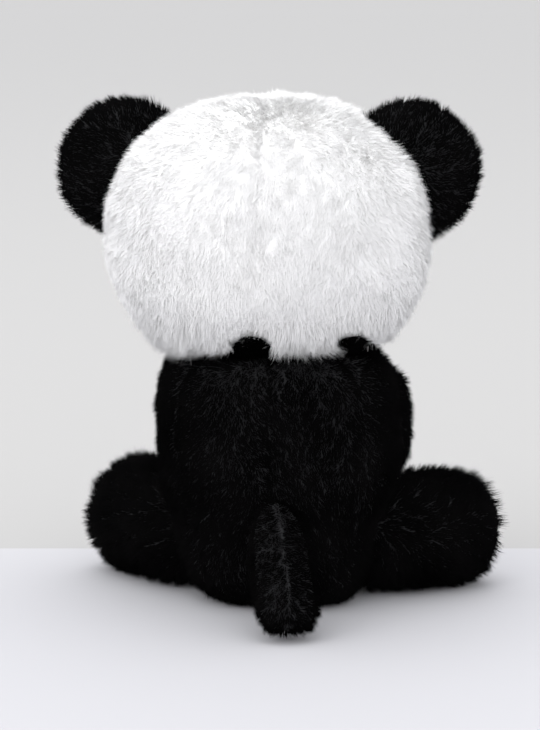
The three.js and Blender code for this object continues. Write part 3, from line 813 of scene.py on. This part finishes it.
for side, sign in (("left", 1), ("right", -1)):
    splay = LEG_SPLAY[side]
    ahead = np.array([sign * np.sin(splay), -np.cos(splay), 0])
    across = np.array([-np.cos(splay), -sign * np.sin(splay), 0]) * sign
    hip = LEG_HIP * [sign, 1, 1]

    def leg_skin(u, v, hip=hip, ahead=ahead, across=across):
        """The thigh swells into the foot, which stands taller than it is wide."""
        start, end = hip + ahead * LEG_FROM, hip + ahead * LEG_TO
        p = limb(u, v, start, end, across,
                 lambda t: 26.0 + 2.0 * np.sin(np.pi * np.clip(t * 1.15 - 0.15, 0, 1)),
                 lambda t: 27.5 + 3.0 * smooth((t - 0.35) / 0.4), (2.4, 3.6))
        lift = np.clip(((p - hip) @ ahead) / 60, 0, 1) * 1.5
        p = p + unit(p - (hip + ahead * 30)) * (1.0 * ripple(p, 42, 15))[..., None]
        p[..., 2] += lift
        p[..., 2] = np.maximum(p[..., 2], SKIN_FLOOR)
        return p

    def leg_comb(p, ahead=ahead):
        """Pile combed toward the foot and down."""
        flow = 0.8 * ahead + np.stack([0.5 * ripple(p, 40, k) for k in (16, 17, 18)], -1)
        flow[..., 2] -= 0.25
        return flow

    padded_skin(f"leg_skin_{side}", leg_skin, 110, 80, black_cloth, f"leg_{side}",
                [f"leg_outer_{side}", f"leg_inner_{side}", f"foot_sole_{side}"])
    filling(f"leg_filling_{side}", leg_skin, hip + ahead * 24, f"leg_{side}", f"leg_stuffing_{side}")
    for k, (panel, round_it) in enumerate({"outer": (0.0, 0.5), "inner": (0.5, 1.0)}.items()):
        pile_piece(f"leg_{panel}_{side}_pile", leg_skin, (round_it, (0.0, SOLE)), f"leg_{side}", black_pile,
                   "black_fur", 60 + 5 * sign + k, leg_comb, torso_free, **LEG_COAT)
    pile_piece(f"foot_sole_{side}_pile", leg_skin, ((0.0, 1.0), (SOLE, 1.0)), f"leg_{side}", black_pile,
               "pad_plush", 62 + 5 * sign, leg_comb, **SOLE_COAT)

# ---- arms ---------------------------------------------------------------------------------
# Each arm is a short flat sleeve of black fur, sewn to the front of the shoulder by its back.

for side, sign in (("left", 1), ("right", -1)):
    corners = np.array([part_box(f"arm_{half}_{side}") for half in ("outer", "inner")]) / MM
    low, high = corners[:, 0].min(0), corners[:, 1].max(0)
    middle = (low + high) / 2
    shoulder = np.array([middle[0] + sign * 1.5, middle[1] + 7.0, high[2] - 4.0])
    paw = np.array([middle[0] - sign * 2.5, middle[1] - 6.5, low[2] + 4.0])

    def arm_skin(u, v, start=shoulder, end=paw, sign=sign):
        """A flattened sleeve, wider at the paw."""
        wide = unit(np.cross(np.array([sign * 0.75, -0.66, 0]), unit(end - start))) * -1
        return limb(u, v, start, end, wide, lambda t: 14.5 + 2.5 * t, lambda t: 11.0 + 1.5 * t, (2.3, 2.6))

    padded_skin(f"arm_skin_{side}", arm_skin, 80, 60, black_cloth, f"arm_{side}",
                [f"arm_outer_{side}", f"arm_inner_{side}"])
    filling(f"arm_filling_{side}", arm_skin, (shoulder + paw) / 2, f"arm_{side}", f"arm_stuffing_{side}")
    for k, (panel, round_it) in enumerate({"outer": (0.0, 0.5), "inner": (0.5, 1.0)}.items()):
        pile_piece(f"arm_{panel}_{side}_pile", arm_skin, (round_it, (0.0, 1.0)), f"arm_{side}", black_pile,
                   "black_fur", 80 + 5 * sign + k, hangs, **BLACK_COAT)

# ---- tail ---------------------------------------------------------------------------------
# The tail is a flat tube of black fur sewn into the back seam; it hangs down and lies on the floor.

TAIL_ROOT = np.array([-5.0, 53.0, 57.0])
tail_aim, tail_slope = np.radians(15), np.radians(47)
tail_across = np.array([np.cos(tail_aim), np.sin(tail_aim), 0])
tail_way = np.array([
    -np.sin(tail_aim) * np.cos(tail_slope),
    np.cos(tail_aim) * np.cos(tail_slope),
    -np.sin(tail_slope),
])


def tail_skin(u, v):
    """A flattened tube with a blunt end and a groove where its two halves meet on top."""
    start, end = TAIL_ROOT - tail_way * 8, TAIL_ROOT + tail_way * 66
    p = limb(u, v, start, end, tail_across, lambda t: 14.0 + 1.0 * t, lambda t: 8.5 + 1.5 * t, (2.2, 5.0))
    dip = groove((p - TAIL_ROOT) @ tail_across, 1.8, 1.2) * np.sign(np.cos(TURN * u))
    p = p + np.cross(tail_way, tail_across) * dip[..., None]
    p[..., 2] = np.maximum(p[..., 2], SKIN_FLOOR)
    return p


def tail_comb(p):
    """Pile combed down the tail and away from its seam."""
    aside = np.tanh(((p - TAIL_ROOT) @ tail_across) / 3)[..., None]
    stray = np.stack([0.3 * ripple(p, 30, k) for k in (26, 27, 28)], -1)
    return tail_way + 0.5 * aside * tail_across + stray


padded_skin("tail_skin", tail_skin, 80, 60, black_cloth, "tail",
            ["tail_panel_left", "tail_panel_right"])
filling("tail_filling", tail_skin, TAIL_ROOT + tail_way * 29, "tail", "tail_stuffing")
for k, (panel, round_it) in enumerate({"left": (0.0, 0.5), "right": (0.5, 1.0)}.items()):
    pile_piece(f"tail_panel_{panel}_pile", tail_skin, (round_it, (0.0, 1.0)), "tail", black_pile,
               "black_fur", 95 + k, tail_comb, torso_free, **BLACK_COAT)

# ---- floor, light and camera --------------------------------------------------------------
# A plain pale studio: white paper lies on a pale table, under a large soft lamp behind the camera
# at its left, with a low fill beside it and a third lamp overhead.

CAMERA_AZIMUTH, CAMERA_RISE = np.radians(6.5), np.radians(10)
level_way = np.array([-np.sin(CAMERA_AZIMUTH), np.cos(CAMERA_AZIMUTH)])
side_way = np.array([np.cos(CAMERA_AZIMUTH), np.sin(CAMERA_AZIMUTH)])
for name, colour, roughness, near, far, wide, level in (
    ("table", (0.345, 0.341, 0.335, 1), 0.8, 3.0, -60.0, 40.0, -0.00005),
    ("paper", (0.41, 0.408, 0.424, 1), 0.85, 1.4, -0.106, 1.5, 0.0),
):
    look, _, _, shader = new_look(f"{name}_look")
    shader.inputs["Base Color"].default_value = colour
    shader.inputs["Roughness"].default_value = roughness
    corners = [(*(level_way * reach + side_way * over), level)
               for reach, over in ((far, -wide), (far, wide), (near, wide), (near, -wide))]
    sheet = bpy.data.meshes.new(name)
    sheet.from_pydata(corners, [], [(0, 1, 2, 3)])
    put(name, sheet, look)


def aim(thing, place, target):
    """Puts a lamp or camera at a place, looking at a target."""
    thing.location = place
    thing.rotation_euler = (Vector(target) - Vector(place)).to_track_quat("-Z", "Y").to_euler()


for name, place, size, power in (
    ("key", (2.6, 2.4, 2.4), 2.6, 44),
    ("fill", (-0.9, 3.3, 0.55), 2.2, 20),
    ("top", (0.3, 0.0, 3.2), 2.4, 30),
):
    lamp = bpy.data.lights.new(name, "AREA")
    lamp.shape = "SQUARE"
    lamp.size = size
    lamp.energy = power
    lamp_object = bpy.data.objects.new(name, lamp)
    bpy.context.scene.collection.objects.link(lamp_object)
    aim(lamp_object, place, (0, 0, 0.13))

world = bpy.data.worlds.new("studio")
world.use_nodes = True
world.node_tree.nodes["Background"].inputs["Color"].default_value = (0.97, 0.975, 1.0, 1)
world.node_tree.nodes["Background"].inputs["Strength"].default_value = 1.7
bpy.context.scene.world = world
bpy.context.scene.view_settings.view_transform = "Standard"
bpy.context.scene.cycles.diffuse_bounces = 12

CAMERA_FAR, VIEW_TALL, FILM_TALL = 1.5, 0.398, 24
TARGET = np.array([0.0044, 0.0, 0.1287])
sight = np.array([*(level_way * np.cos(CAMERA_RISE)), np.sin(CAMERA_RISE)])
camera = bpy.data.objects.new("camera", bpy.data.cameras.new("camera"))
bpy.context.scene.collection.objects.link(camera)
camera.data.sensor_fit = "VERTICAL"
camera.data.sensor_height = FILM_TALL
camera.data.lens = FILM_TALL * CAMERA_FAR / VIEW_TALL
aim(camera, TARGET + sight * CAMERA_FAR, TARGET)
bpy.context.scene.camera = camera
